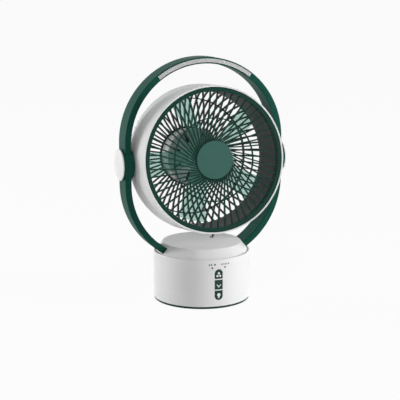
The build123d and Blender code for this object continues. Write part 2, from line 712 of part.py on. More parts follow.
def ring_body():
    """The whole ring with its two pivot bosses, cut off on the turning plate, its feet ending blunt."""
    half = RING_D / 2
    band = ring_band(0, -half, half)
    band = fillet(band.edges().filter_by(Plane.XZ), RING_EDGE)
    boss = cyl_x(BOSS_R, BOSS_X, BOSS_OUT_X)
    boss = fillet(boss.edges().group_by(Axis.X)[0], RING_EDGE)
    bosses = [at_pivot(boss), at_pivot(to_left(boss))]
    ring = band + bosses
    ring -= block((-RING_R, -half, 0), (RING_R, half, ARM_Z))
    ring -= block((-ARM_TOE_X, -half, 0), (ARM_TOE_X, half, RING_LOW_C))
    hollow = stadium(RING_R - RING_WALL, -half + RING_WALL, half - RING_WALL)
    hollow -= stadium(RING_IN_R + RING_WALL, -half + RING_WALL, half - RING_WALL)
    core = cyl_x(BUSH_R + RING_WALL, BOSS_X, BOSS_OUT_X)
    hollow -= [at_pivot(core), at_pivot(to_left(core))]
    post = cyl_z(SCREW_R + RING_WALL, ARM_Z, ARM_Z + PILOT_DEEP + RING_WALL)
    hollow -= [place * post for place in arm_screw_places()]
    ring -= hollow
    pocket = cyl_x(PIVOT_POCKET_R, POCKET_X, BOSS_OUT_X) + cyl_x(BUSH_R + FIT_GAP / 3, BOSS_X, POCKET_X)
    ring -= [at_pivot(pocket), at_pivot(to_left(pocket))]
    return ring - [place * cyl_z(SCREW_R, ARM_Z, ARM_Z + PILOT_DEEP) for place in arm_screw_places()]


def ring_front(body):
    """The front half of the clamshell, with the lamp's window."""
    far = 2 * RING_R
    half = body & block((-far, -far, 0), (far, SEAM_Y, RING_TOP_C + far))
    front = -RING_D / 2
    seat = lamp_arc(LAMP_W, LAMP_HALF_ANGLE, front, front + LAMP_T)
    window_cut = lamp_arc(LAMP_SLOT_W, LAMP_HALF_ANGLE - LAMP_STOP, front + LAMP_T, front + RING_WALL)
    return half - [seat, window_cut]


def ring_rear(body):
    """The rear half of the clamshell."""
    far = 2 * RING_R
    return body & block((-far, SEAM_Y, 0), (far, far, RING_TOP_C + far))


def lamp_diffuser():
    """The milky strip on the ring's front."""
    front = -RING_D / 2
    angle = LAMP_HALF_ANGLE - LAMP_END_GAP
    return lamp_arc(LAMP_W - 2 * FIT_GAP, angle, front - LAMP_PROUD, front + LAMP_T)


def lamp_board():
    """The strip of light diodes on the ring's inner wall behind the diffuser."""
    low = -RING_D / 2 + RING_WALL
    return lamp_arc(LAMP_BOARD_W, LAMP_HALF_ANGLE, low, low + LAMP_BOARD_T)


def pivot_bush():
    """The bearing bush clamped in the boss, on the right side."""
    bush = cyl_x(BUSH_R, BOSS_X, POCKET_X) - cyl_x(STUB_R + RUN_GAP, BOSS_X, POCKET_X)
    return at_pivot(bush)


def pivot_cap():
    """The domed white cover over the right pivot."""
    rim = cyl_x(CAP_R, BOSS_OUT_X, BOSS_OUT_X + CAP_RIM_T)
    crown_x = BOSS_OUT_X + CAP_RIM_T
    dome_r = (CAP_R ** 2 + CAP_DOME ** 2) / (2 * CAP_DOME)
    dome = Pos(crown_x + CAP_DOME - dome_r, 0, 0) * Sphere(dome_r)
    dome &= cyl_x(CAP_R, crown_x - CAP_RIM_T / 2, crown_x + CAP_DOME + OVERCUT)
    ring_r = PIVOT_POCKET_R - FIT_GAP
    spigot = cyl_x(ring_r, BOSS_OUT_X - CAP_SPIGOT_H, BOSS_OUT_X)
    spigot -= cyl_x(ring_r - CAP_SPIGOT_WALL, BOSS_OUT_X - CAP_SPIGOT_H, BOSS_OUT_X)
    return at_pivot(rim + [dome, spigot])


# Head

def drum_solid(inset):
    """The drum's outer form, drawn in by inset, as a solid about the head's axis."""
    front = (DRUM_FRONT_R - inset, DRUM_FRONT_Y)
    middle = (DRUM_MID_R - inset, DRUM_MID_Y)
    rear = (DRUM_REAR_R - inset, DRUM_REAR_Y)
    swell_pull = ((DRUM_FRONT_R + 3 * DRUM_MID_R) / 4 - inset, (front[1] + middle[1]) / 2)
    swell = Bezier(front, swell_pull, middle)
    tuck = Bezier(middle, (middle[0], (rear[1] + middle[1]) / 2), rear)
    points = Polyline(rear, (0, rear[1]), (0, front[1]), front)
    return revolve(make_face([swell, tuck, points]), Axis.Y, 360)


def at_rear_screws(shape):
    """A shape on the Y axis, copied to the places of the rear grille's screws."""
    return around_y(Pos(REAR_SCREW_CIRCLE_R, 0, 0) * shape, REAR_SCREW_COUNT, REAR_SCREW_TURN)


def drum_housing():
    """The white drum shell, open at both ends, with two flat pads for the pivots and four screw posts."""
    outer = drum_solid(0)
    outer = fillet(outer.edges().group_by(Axis.Y)[-1], DRUM_ROUND)
    drum = outer - drum_solid(DRUM_WALL)
    pad = off_axis(cyl_x(PAD_R, PAD_X, DRUM_MID_R + OVERCUT))
    drum += [pad & outer, to_left(pad) & outer]
    drum += at_rear_screws(cyl_y(REAR_BOSS_R, DUCT_FLANGE_Y - REAR_BOSS_L, DUCT_FLANGE_Y))
    bore = off_axis(cyl_x(STUB_R + FIT_GAP, PAD_X, DRUM_MID_R + OVERCUT))
    drum -= [bore, to_left(bore)]
    return drum - at_rear_screws(cyl_y(REAR_SCREW_R, DUCT_FLANGE_Y - PILOT_DEEP, DUCT_FLANGE_Y))


def swirl_bar(inner_r, outer_r):
    """One front rib's outline: an arc that leaves the hub nearly tangent and ends nearly radial."""
    mid_share = (RIB_MID_R - HUB_R) / (RIB_OUT_R - HUB_R)
    mid_r = inner_r + mid_share * (outer_r - inner_r)
    ends = [(inner_r, 0), (mid_r, -RIB_MID_TURN), (outer_r, -RIB_END_TURN)]
    arc = ThreePointArc(*[(r * math.cos(math.radians(t)), r * math.sin(math.radians(t))) for r, t in ends])
    return trace(arc, line_width=RIB_W)


def front_grille():
    """The green front grille: face ring, flange, swirling ribs, stay ring and the hub's seat."""
    face_y = DRUM_FRONT_Y + GRILLE_SINK
    face_r = GRILLE_R - GRILLE_GAP
    face = cyl_y(face_r, face_y, face_y + GRILLE_FACE_T) - cyl_y(RIB_OUT_R, face_y, face_y + GRILLE_FACE_T)
    face = fillet(face.edges().group_by(Axis.Y)[0], GRILLE_ROUND)
    flange = cyl_y(RIB_OUT_R + GRILLE_FLANGE_T, face_y + GRILLE_FACE_T, face_y + GRILLE_FLANGE_DEEP)
    flange -= cyl_y(RIB_OUT_R, face_y + GRILLE_FACE_T, face_y + GRILLE_FLANGE_DEEP)
    rib_back = RIB_FRONT_Y + RIB_DEEP
    bar = swirl_bar(HUB_R - RIB_ROOT, RIB_OUT_R + GRILLE_FLANGE_T / 2)
    rib = Pos(0, rib_back, 0) * extrude(Plane.XZ * bar, RIB_DEEP)
    stay = cyl_y(STAY_R + STAY_W / 2, RIB_FRONT_Y + STAY_SINK, rib_back)
    stay -= cyl_y(STAY_R - STAY_W / 2, RIB_FRONT_Y + STAY_SINK, rib_back)
    hub = cyl_y(HUB_R, RIB_FRONT_Y, rib_back)
    return face + [flange, stay, hub] + around_y(rib, RIB_COUNT)


def hub_cap():
    """The flat round cover on the grille's middle."""
    cap = cyl_y(HUB_R, RIB_FRONT_Y - HUB_T, RIB_FRONT_Y)
    return fillet(cap.edges().group_by(Axis.Y)[0], HUB_ROUND)


def grille_latch():
    """The small dark spring latch under the drum that hooks the front grille."""
    low = -DRUM_MID_R - LATCH_DROP
    top = -DRUM_MID_R + LATCH_T
    back = LATCH_Y + LATCH_T
    half = LATCH_W / 2
    tab = block((-half, LATCH_Y, low), (half, back, top))
    toe = block((-LATCH_TOE_L, LATCH_Y, low), (half, back, low + LATCH_TOE_T))
    arm = block((-half, LATCH_Y - LATCH_L, -DRUM_MID_R - LATCH_ARM_T), (half, back, top))
    return tab + [toe, arm] - drum_solid(0)


def air_duct():
    """The dark tube round the fan wheel, with a flange that the rear grille clamps."""
    tube = cyl_y(DUCT_R, DUCT_FRONT_Y, DRUM_REAR_Y) + cyl_y(DUCT_FLANGE_R, DUCT_FLANGE_Y, DRUM_REAR_Y)
    tube -= cyl_y(DUCT_R - DUCT_WALL, DUCT_FRONT_Y, DRUM_REAR_Y)
    return tube - at_rear_screws(cyl_y(REAR_SCREW_R + FIT_GAP, DUCT_FLANGE_Y, DRUM_REAR_Y))


def rear_dome(inset):
    """The rear grille's outer form behind its rim, drawn in by inset, as a solid."""
    foot = (DOME_R - inset, DOME_FOOT_Y)
    flat = (DOME_FLAT_R - inset, REAR_Y - inset)
    shoulder = Bezier(foot, (foot[0] - REAR_LEAN, flat[1]), flat)
    rest = Polyline(flat, (0, flat[1]), (0, foot[1]), foot)
    return revolve(make_face([shoulder, rest]), Axis.Y, 360)


def rear_grille():
    """The dark domed grille behind the drum: rim, straight ribs, stay ring and the motor's seat."""
    rim = cyl_y(DOME_R, DRUM_REAR_Y, DOME_FOOT_Y) - cyl_y(DUCT_R - DUCT_WALL, DRUM_REAR_Y, DOME_FOOT_Y)
    rim -= at_rear_screws(cyl_y(REAR_SCREW_R + FIT_GAP, DRUM_REAR_Y, DOME_FOOT_Y))
    shell = rear_dome(0) - rear_dome(REAR_RIB_T)
    rib = block((REAR_PLATE_R - RIB_ROOT, DOME_FOOT_Y, -REAR_RIB_W / 2),
                (DOME_R + OVERCUT, REAR_Y + OVERCUT, REAR_RIB_W / 2)) & shell
    stay = cyl_y(REAR_STAY_R + STAY_W / 2, DOME_FOOT_Y, REAR_Y)
    stay -= cyl_y(REAR_STAY_R - STAY_W / 2, DOME_FOOT_Y, REAR_Y)
    plate = cyl_y(REAR_PLATE_R, REAR_RIB_Y, REAR_Y)
    return rim + [stay & shell, plate] + around_y(rib, REAR_RIB_COUNT, 180 / REAR_RIB_COUNT)


def rear_screws():
    """Four screws through the rear grille's rim and the duct's flange into the drum's posts."""
    top = DOME_FOOT_Y + SCREW_HEAD_H
    head = cyl_y(REAR_SCREW_HEAD_R, DOME_FOOT_Y, top)
    head = fillet(head.edges().group_by(Axis.Y)[-1], SCREW_ROUND)
    screw = head + cyl_y(REAR_SCREW_R - FIT_GAP / 2, DUCT_FLANGE_Y - BITE, DOME_FOOT_Y)
    screw -= Rot(-90, 0, 0) * cross_z(top - CROSS_DEEP, top)
    return group(at_rear_screws(screw))


def pivot_stub():
    """The right pivot: a flange inside the drum's pad and a stub that turns in the bush."""
    flange = cyl_x(STUB_FLANGE_R, PAD_X - STUB_FLANGE_T, PAD_X)
    stub = flange + cyl_x(STUB_R, PAD_X, POCKET_X + LAYER_GAP)
    return off_axis(stub - cyl_x(PIVOT_SCREW_R, POCKET_X - PIVOT_PILOT, POCKET_X + LAYER_GAP))


def pivot_washer():
    """The friction washer on the right stub's end."""
    low = POCKET_X + LAYER_GAP
    return off_axis(cyl_x(WASHER_R, low, low + WASHER_T) - cyl_x(PIVOT_SCREW_R, low, low + WASHER_T))


def pivot_screw():
    """The screw that holds the washer on the right stub."""
    low = POCKET_X + LAYER_GAP + WASHER_T
    head = cyl_x(PIVOT_SCREW_HEAD_R, low, low + PIVOT_SCREW_HEAD_H)
    return off_axis(head + cyl_x(PIVOT_SCREW_R - FIT_GAP / 3, POCKET_X - PIVOT_BITE, low))


def motor_cup():
    """The grey cup over the motor, facing the fan wheel."""
    cup = cyl_y(CUP_R, CUP_FRONT_Y, REAR_RIB_Y)
    cup = fillet(cup.edges().group_by(Axis.Y)[0], CUP_ROUND)
    cup -= cyl_y(CUP_R - CUP_WALL, CUP_FRONT_Y + CUP_WALL, REAR_RIB_Y)
    inside = CUP_FRONT_Y + CUP_WALL
    slot = block((MOTOR_R + CUP_SLOT_W, CUP_FRONT_Y, -CUP_SLOT_W / 2),
                 (CUP_R - CUP_WALL - CUP_SLOT_W, inside, CUP_SLOT_W / 2))
    cup -= around_y(slot, CUP_SLOT_COUNT, 180 / CUP_SLOT_COUNT)
    hole = Pos(MOTOR_SCREW_CIRCLE_R, 0, 0) * cyl_y(SCREW_R, CUP_FRONT_Y, inside)
    cup -= around_y(hole, MOTOR_SCREW_COUNT)
    return cup - cyl_y(MOTOR_NOSE_R + FIT_GAP, CUP_FRONT_Y, inside)


def fan_motor():
    """The brushless motor's can, with a bearing nose through the cup."""
    front = CUP_FRONT_Y + CUP_WALL
    can = cyl_y(MOTOR_R, front, front + MOTOR_L)
    can = fillet(can.edges().group_by(Axis.Y)[-1], CAN_ROUND)
    motor = can + cyl_y(MOTOR_NOSE_R, CUP_FRONT_Y - MOTOR_NOSE_PROUD, front)
    pilot = Pos(MOTOR_SCREW_CIRCLE_R, 0, 0) * cyl_y(SCREW_R, front, front + PILOT_DEEP)
    motor -= around_y(pilot, MOTOR_SCREW_COUNT)
    return motor - cyl_y(SHAFT_R + RUN_GAP, CUP_FRONT_Y - MOTOR_NOSE_PROUD, SHAFT_END_Y + LAYER_GAP)


def motor_screws():
    """Three screws through the cup's face into the motor."""
    head = cyl_y(SCREW_HEAD_R, CUP_FRONT_Y - SCREW_HEAD_H, CUP_FRONT_Y)
    screw = head + cyl_y(SCREW_R - FIT_GAP / 2, CUP_FRONT_Y, CUP_FRONT_Y + CUP_WALL + BITE)
    return group(around_y(Pos(MOTOR_SCREW_CIRCLE_R, 0, 0) * screw, MOTOR_SCREW_COUNT))


def rear_cover():
    """The round cover outside, behind the motor."""
    low = REAR_Y
    disc = cyl_y(REAR_COVER_R, low, low + REAR_COVER_T)
    dome_r = (REAR_COVER_R ** 2 + REAR_COVER_DOME ** 2) / (2 * REAR_COVER_DOME)
    crown = low + REAR_COVER_T + REAR_COVER_DOME - dome_r
    dome = Pos(0, crown, 0) * Sphere(dome_r)
    dome &= cyl_y(REAR_COVER_R, low + REAR_COVER_T / 2, low + REAR_COVER_T + REAR_COVER_DOME)
    return disc + dome


# Fan wheel

def blade(index):
    """One twisted blade, lofted through a root, a middle and a tip section and trimmed round."""
    sections = []
    inner = WHEEL_HUB_R - BLADE_ROOT
    for share in (0.0, 0.5, 1.0):
        radius = inner + share * (BLADE_R + BLADE_TRIM - inner)
        chord = BLADE_ROOT_CHORD + share * (BLADE_TIP_CHORD - BLADE_ROOT_CHORD)
        pitch = BLADE_ROOT_PITCH + share * (BLADE_TIP_PITCH - BLADE_ROOT_PITCH)
        plane = Plane(origin=(radius, BLADE_Y, share * BLADE_SWEEP), x_dir=(0, 0, 1), z_dir=(1, 0, 0))
        sections.append(plane * Rot(0, 0, pitch) * Rectangle(chord, BLADE_T))
    solid = loft(sections) & cyl_y(BLADE_R, BLADE_Y - BLADE_TIP_CHORD, BLADE_Y + BLADE_TIP_CHORD)
    return Rot(0, -BLADE_TURN - 360 * index / BLADE_COUNT, 0) * solid


def fan_wheel():
    """The translucent wheel: a cup-shaped hub with five blades."""
    half = WHEEL_HUB_L / 2
    hub = cyl_y(WHEEL_HUB_R, BLADE_Y - half, BLADE_Y + half)
    hub = fillet(hub.edges().group_by(Axis.Y)[0], WHEEL_ROUND)
    inside = cyl_y(WHEEL_HUB_R - WHEEL_HUB_WALL, BLADE_Y - half + WHEEL_HUB_WALL, BLADE_Y + half)
    boss = cyl_y(WHEEL_BOSS_R, BLADE_Y - half, BLADE_Y + half)
    wheel = hub + [blade(i) for i in range(BLADE_COUNT)] - inside + boss
    return wheel - cyl_y(SHAFT_R, BLADE_Y - half, BLADE_Y + half)


def motor_shaft():
    """The steel shaft from the motor to the spinner nut."""
    return cyl_y(SHAFT_R, BLADE_Y - WHEEL_HUB_L / 2 - SPINNER_H + SPINNER_WALL, SHAFT_END_Y)


def spinner_nut():
    """The nut that clamps the wheel on its shaft."""
    front = BLADE_Y - WHEEL_HUB_L / 2
    nut = cyl_y(SPINNER_R, front - SPINNER_H, front)
    nut = fillet(nut.edges().group_by(Axis.Y)[0], SPINNER_ROUND)
    return nut - cyl_y(SHAFT_R, front - SPINNER_H + SPINNER_WALL, front)


def all_pieces():
    """Every node's name with its solid, in its place."""
    ring = ring_body()
    base = {
        "base_shell": base_shell(), "base_plate": base_plate(), "rubber_feet": rubber_feet(),
        "base_screws": base_screws(), "battery_tray": battery_tray(), "battery_cells": battery_cells(),
        "control_board": control_board(), "tact_switches": tact_switches(),
        "indicator_lenses": indicator_lenses(), "charge_socket": charge_socket(),
        "light_button": push_button(0), "swing_button": push_button(1), "fan_button": push_button(2),
        "swing_motor": swing_motor(), "swing_screws": swing_screws(), "swing_pinion": swing_pinion(),
        "glide_ring": glide_ring(),
    }
    upper = {
        "swing_gear": swing_gear(), "spindle_nut": spindle_nut(), "turret_plate": turret_plate(),
        "turret_cap": turret_cap(), "arm_screws": arm_screws(),
        "ring_front": ring_front(ring), "ring_rear": ring_rear(ring),
        "lamp_diffuser": lamp_diffuser(), "lamp_board": lamp_board(),
        "pivot_bush_right": pivot_bush(), "pivot_bush_left": to_left(pivot_bush()),
        "pivot_cap_right": pivot_cap(), "pivot_cap_left": to_left(pivot_cap()),
    }
    head = {
        "drum_housing": drum_housing(), "front_grille": front_grille(), "hub_cap": hub_cap(),
        "grille_latch": grille_latch(), "air_duct": air_duct(), "rear_grille": rear_grille(),
        "rear_screws": rear_screws(),
        "motor_cup": motor_cup(), "fan_motor": fan_motor(), "motor_screws": motor_screws(),
        "rear_cover": rear_cover(), "fan_wheel": fan_wheel(), "motor_shaft": motor_shaft(),
        "spinner_nut": spinner_nut(),
        "pivot_stub_right": pivot_stub(), "pivot_stub_left": to_left(pivot_stub()),
        "pivot_washers": group([pivot_washer(), to_left(pivot_washer())]),
        "pivot_screws": group([pivot_screw(), to_left(pivot_screw())]),
    }
    return {**base, **upper, **{name: on_pivot(shape) for name, shape in head.items()}}


os.makedirs("parts", exist_ok=True)
for node, solid in all_pieces().items():
    export_step(solid, f"parts/{node}.step")
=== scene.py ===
"""Looks of the rechargeable portable fan, dressed round its CAD frame (metres, +Z up, front towards -Y)."""
import logging
import math
from dataclasses import dataclass
from enum import Enum
from functools import cache

import bpy
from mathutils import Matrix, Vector


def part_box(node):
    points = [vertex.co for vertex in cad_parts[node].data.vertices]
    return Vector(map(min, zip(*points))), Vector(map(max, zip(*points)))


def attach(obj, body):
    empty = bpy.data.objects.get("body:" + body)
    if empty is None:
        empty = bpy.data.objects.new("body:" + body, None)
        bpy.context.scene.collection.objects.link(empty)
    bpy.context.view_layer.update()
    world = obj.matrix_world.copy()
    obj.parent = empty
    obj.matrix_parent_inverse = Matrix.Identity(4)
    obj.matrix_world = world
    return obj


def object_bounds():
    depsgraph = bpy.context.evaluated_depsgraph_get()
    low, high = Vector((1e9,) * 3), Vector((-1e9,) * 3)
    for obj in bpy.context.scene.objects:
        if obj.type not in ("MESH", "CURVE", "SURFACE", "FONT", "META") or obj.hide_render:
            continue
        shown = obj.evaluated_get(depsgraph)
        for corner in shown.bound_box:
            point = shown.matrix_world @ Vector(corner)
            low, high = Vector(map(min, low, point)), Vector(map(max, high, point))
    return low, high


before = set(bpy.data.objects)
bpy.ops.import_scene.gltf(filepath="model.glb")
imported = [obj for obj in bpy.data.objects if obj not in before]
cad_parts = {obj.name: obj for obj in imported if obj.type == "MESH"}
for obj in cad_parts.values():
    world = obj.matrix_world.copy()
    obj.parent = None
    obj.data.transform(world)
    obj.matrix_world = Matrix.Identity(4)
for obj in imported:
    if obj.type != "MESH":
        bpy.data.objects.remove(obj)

CAD_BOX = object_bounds()
MM = 0.001
LOG = logging.getLogger("portable_fan")

# The sRGB curve: a straight toe, then a power
TOE_END = 0.04045
TOE_SLOPE = 12.92
CURVE_LIFT = 0.055
CURVE_POWER = 2.4

# The Mix node's colour sockets, by number because its sockets for other types share their names
MIX_SHARE = 0
MIX_FIRST = 6
MIX_SECOND = 7
MIX_RESULT = 2

Triple = tuple[float, float, float]
Bars = tuple[Triple, ...]


class Body(Enum):
    """The CAD bodies that the modelled pieces ride on."""

    BASE = "base"
    LIGHT_BUTTON = "light_button"
    SWING_BUTTON = "swing_button"
    FAN_BUTTON = "fan_button"


class Slot(Enum):
    """The record's material slots."""

    WHITE_SHELL = "white_shell"
    MOTOR_GREY = "motor_grey"


class Carving(Enum):
    """What one piece does to another."""

    JOIN = "UNION"
    CUT = "DIFFERENCE"
    TRIM = "INTERSECT"


class Side(Enum):
    """The two sides, seen from the front."""

    LEFT = -1
    RIGHT = 1


def linear(hex_colour: str) -> tuple[float, float, float, float]:
    """Turns an sRGB hex colour to linear.

    Args:
        hex_colour: Six hex digits after a hash sign.

    Returns:
        Linear red, green, blue and an alpha of one.
    """
    shares = [int(hex_colour[i:i + 2], 16) / 255 for i in (1, 3, 5)]
    values = [s / TOE_SLOPE if s <= TOE_END else ((s + CURVE_LIFT) / (1 + CURVE_LIFT)) ** CURVE_POWER
              for s in shares]
    return (*values, 1.0)


def add_node(tree: bpy.types.NodeTree, kind: str, inputs: dict | None = None,
             links: dict | None = None, **settings: object) -> bpy.types.Node:
    """Adds one shader node.

    Args:
        tree: The node tree that takes it.
        kind: The node's type name.
        inputs: Values for its sockets, by socket name or number.
        links: Sockets of other nodes to link in, by socket name or number.
        settings: The node's own properties.

    Returns:
        The new node.
    """
    node = tree.nodes.new(kind)
    for name, value in settings.items():
        setattr(node, name, value)
    for name, value in (inputs or {}).items():
        node.inputs[name].default_value = value
    for name, socket in (links or {}).items():
        tree.links.new(socket, node.inputs[name])
    return node


def grain_scale(size_mm: float) -> float:
    """The scale of a noise whose features are that many millimetres across."""
    return 1 / (size_mm * MM)


def start_material(name: str, even: dict[str, object]) -> tuple[bpy.types.Material, bpy.types.Node]:
    """Starts a node material.

    Args:
        name: The material's name.
        even: The values of its shader that are the same all over, by socket name.

    Returns:
        The material and its shader.
    """
    made = bpy.data.materials.new(name)
    made.use_nodes = True
    shader = made.node_tree.nodes["Principled BSDF"]
    for socket, value in even.items():
        shader.inputs[socket].default_value = value
    return made, shader


@dataclass(frozen=True)
class Flow:
    """Flow in a mould, which leaves a drift between two near tones."""

    colour: str
    drift_colour: str
    drift_mm: float
    detail: float = 2.0

    def tone(self, tree: bpy.types.NodeTree, place: bpy.types.NodeSocket) -> bpy.types.NodeSocket:
        """Builds the drift's nodes.

        Args:
            tree: The node tree that takes them.
            place: The coordinates that the drift follows.

        Returns:
            The drifting colour.
        """
        drift = add_node(tree, "ShaderNodeTexNoise",
                         {"Scale": grain_scale(self.drift_mm), "Detail": self.detail}, {"Vector": place})
        mix = add_node(tree, "ShaderNodeMix",
                       {MIX_FIRST: linear(self.colour), MIX_SECOND: linear(self.drift_colour)},
                       {MIX_SHARE: drift.outputs["Fac"]}, data_type="RGBA")
        return mix.outputs[MIX_RESULT]


@dataclass(frozen=True)
class MouldedPlastic:
    """A moulded skin from a spark-eroded tool: an even body colour under a fine satin grain.

    The grain scatters highlights a little unevenly, and flow in the mould leaves a faint drift of tone.
    """

    name: str
    colour: str
    drift_colour: str
    roughness: float
    roughness_spread: float = 0.08
    # The real grain is about a tenth of this, too fine to show, so it is drawn coarser
    grain_mm: float = 0.9
    grain_depth_mm: float = 0.012
    grain_detail: float = 3.0
    grain_strength: float = 0.35
    drift_mm: float = 45.0
    ior: float = 1.53
    shine: float = 0.5

    def material(self) -> bpy.types.Material:
        """Builds the node material.

        Returns:
            The finished material.
        """
        made, shader = start_material(self.name, {"IOR": self.ior, "Specular IOR Level": self.shine})
        tree = made.node_tree
        place = add_node(tree, "ShaderNodeTexCoord").outputs["Object"]
        tone = Flow(self.colour, self.drift_colour, self.drift_mm).tone(tree, place)
        grain = add_node(tree, "ShaderNodeTexNoise",
                         {"Scale": grain_scale(self.grain_mm), "Detail": self.grain_detail},
                         {"Vector": place})
        gloss = add_node(tree, "ShaderNodeMapRange",
                         {"To Min": self.roughness - self.roughness_spread / 2,
                          "To Max": self.roughness + self.roughness_spread / 2},
                         {"Value": grain.outputs["Fac"]})
        bump = add_node(tree, "ShaderNodeBump",
                        {"Strength": self.grain_strength, "Distance": self.grain_depth_mm * MM},
                        {"Height": grain.outputs["Fac"]})
        tree.links.new(tone, shader.inputs["Base Color"])
        tree.links.new(gloss.outputs["Result"], shader.inputs["Roughness"])
        tree.links.new(bump.outputs["Normal"], shader.inputs["Normal"])
        return made


@dataclass(frozen=True)
class TintedPlastic:
    """Tinted polycarbonate: smooth, with cloudy flow marks that tint it unevenly.

    What is behind a thin wall shows unmoved but tinted, so a thin piece covers it only in part.
    """

    name: str
    colour: str
    drift_colour: str
    roughness: float
    drift_mm: float = 22.0
    ior: float = 1.49
    cover: float = 1.0
    tint: str = "#ffffff"

    def material(self) -> bpy.types.Material:
        """Builds the node material.

        Returns:
            The finished material.
        """
        made, shader = start_material(self.name, {"IOR": self.ior, "Roughness": self.roughness})
        tree = made.node_tree
        place = add_node(tree, "ShaderNodeTexCoord").outputs["Object"]
        tone = Flow(self.colour, self.drift_colour, self.drift_mm).tone(tree, place)
        tree.links.new(tone, shader.inputs["Base Color"])
        if self.cover < 1.0:
            through = add_node(tree, "ShaderNodeBsdfTransparent", {"Color": linear(self.tint)})
            blend = add_node(tree, "ShaderNodeMixShader", {0: self.cover},
                             {1: through.outputs[0], 2: shader.outputs[0]})
            tree.links.new(blend.outputs[0], tree.nodes["Material Output"].inputs["Surface"])
        return made


@dataclass(frozen=True)
class TurnedSteel:
    """Zinc-plated steel: a bright metal with fine turning marks that break up its highlights."""

    name: str
    colour: str
    roughness: float
    roughness_share: float = 0.3
    # Real turning marks are finer, so these are drawn coarser to show
    mark_mm: float = 0.5
    mark_detail: float = 4.0

    def material(self) -> bpy.types.Material:
        """Builds the node material.

        Returns:
            The finished material.
        """
        made, shader = start_material(self.name, {"Base Color": linear(self.colour), "Metallic": 1.0})
        tree = made.node_tree
        place = add_node(tree, "ShaderNodeTexCoord").outputs["Object"]
        marks = add_node(tree, "ShaderNodeTexNoise",
                         {"Scale": grain_scale(self.mark_mm), "Detail": self.mark_detail}, {"Vector": place})
        gloss = add_node(tree, "ShaderNodeMapRange",
                         {"To Min": self.roughness * (1 - self.roughness_share),
                          "To Max": self.roughness * (1 + self.roughness_share)},
                         {"Value": marks.outputs["Fac"]})
        tree.links.new(gloss.outputs["Result"], shader.inputs["Roughness"])
        return made


Finish = MouldedPlastic | TintedPlastic | TurnedSteel

# Shells: bright satin ABS with soft, broad highlights
WHITE = MouldedPlastic("white_abs_satin", "#efefef", "#ebebeb", 0.34)
# Ring handle: deep green ABS, almost without shine
GREEN = MouldedPlastic("green_abs_satin", "#1b5145", "#184b3f", 0.45, shine=0.04)
# Hub: the same green, painted paler on its broad flat face as a painted reflection of the room
GREEN_PAINTED_REFLECTION = MouldedPlastic("green_abs_hub_painted_reflection", "#306257", "#2d5d52", 0.5, shine=0.3)
# Front ribs and foot plate: the same green painted darker as painted shade, with a thin gleam along the
# edges
GREEN_PAINTED_SHADE = MouldedPlastic("green_abs_grille_painted_shade", "#133f35", "#10392f", 0.45, shine=0.12)
# Buttons: the darkest green, a little glossier
GREEN_KEY = MouldedPlastic("green_abs_key", "#0f382f", "#0d3229", 0.4, shine=0.3)
# Duct and inner pieces: soft mid-dark polypropylene
DARK = MouldedPlastic("charcoal_polypropylene", "#5d5e5f", "#555657", 0.55)
# Rear grille, its cover and the latch: near black polypropylene
BLACK = MouldedPlastic("black_polypropylene", "#232425", "#1f2021", 0.5)
# Motor cup: pale grey ABS
GREY = MouldedPlastic("grey_abs_motor_cup", "#e6e7e7", "#dfe0e0", 0.42)
# Gears, bushes and glides: waxy off-white acetal
BEARING = MouldedPlastic("acetal_natural", "#e6e4dc", "#dedbd1", 0.4)
# Feet: dull black rubber with a deeper skin
RUBBER = MouldedPlastic("black_rubber_matt", "#1c1d1d", "#222323", 0.85, grain_mm=0.6, grain_depth_mm=0.03)
# Circuit boards: green mask over fibreglass
BOARD = MouldedPlastic("fibreglass_board_green", "#1d5a35", "#174c2c", 0.45)
# Cells: a smooth blue sleeve
WRAP = MouldedPlastic("cell_wrap_blue", "#2f5d8c", "#2a547f", 0.3)
# Icons: a dry film of white ink
PRINT = MouldedPlastic("white_pad_print", "#f2f5f3", "#e9eeeb", 0.5, grain_mm=0.4)
# Marks on the shell: a dry film of grey ink
LEGEND = MouldedPlastic("grey_pad_print", "#3d3f40", "#383a3b", 0.55, grain_mm=0.4)
# Fan wheel: a thin pale teal that lets most of what is behind it show
TEAL = TintedPlastic("teal_polycarbonate_tinted", "#9aead8", "#90e0ce", 0.25, cover=0.18, tint="#e0f1ec")
# Lamp strip: milky and unlit
MILK = TintedPlastic("milky_polycarbonate_lamp", "#c9c8c9", "#c1c0c2", 0.38)
# Indicator lights: smoked and unlit
CLEAR = TintedPlastic("smoked_polycarbonate_lens", "#2f3132", "#2a2c2d", 0.12)
# Screws, shafts, axles and motor cans: bright, faintly streaked
STEEL = TurnedSteel("zinc_plated_steel", "#b9bbbd", 0.3)

NODE_FINISHES: dict[str, Finish] = {
    "base_shell": WHITE, "turret_cap": WHITE, "pivot_cap_right": WHITE, "pivot_cap_left": WHITE,
    "drum_housing": WHITE, "base_plate": GREEN_PAINTED_SHADE, "ring_front": GREEN, "ring_rear": GREEN,
    "front_grille": GREEN_PAINTED_SHADE, "hub_cap": GREEN_PAINTED_REFLECTION, "light_button": GREEN_KEY,
    "swing_button": GREEN_KEY, "fan_button": GREEN_KEY, "air_duct": DARK, "rear_grille": BLACK,
    "grille_latch": BLACK, "rear_cover": BLACK, "motor_cup": GREY, "lamp_diffuser": MILK,
    "indicator_lenses": CLEAR, "rubber_feet": RUBBER, "fan_wheel": TEAL, "glide_ring": BEARING,
    "swing_gear": BEARING, "swing_pinion": BEARING, "spindle_nut": BEARING, "turret_plate": DARK,
    "pivot_bush_right": BEARING, "pivot_bush_left": BEARING, "battery_tray": DARK,
    "battery_cells": WRAP, "control_board": BOARD, "lamp_board": BOARD, "tact_switches": DARK,
    "charge_socket": DARK, "spinner_nut": TEAL,
}


@cache
def material_of(finish: Finish) -> bpy.types.Material:
    """A finish's material, made at its first use."""
    return finish.material()


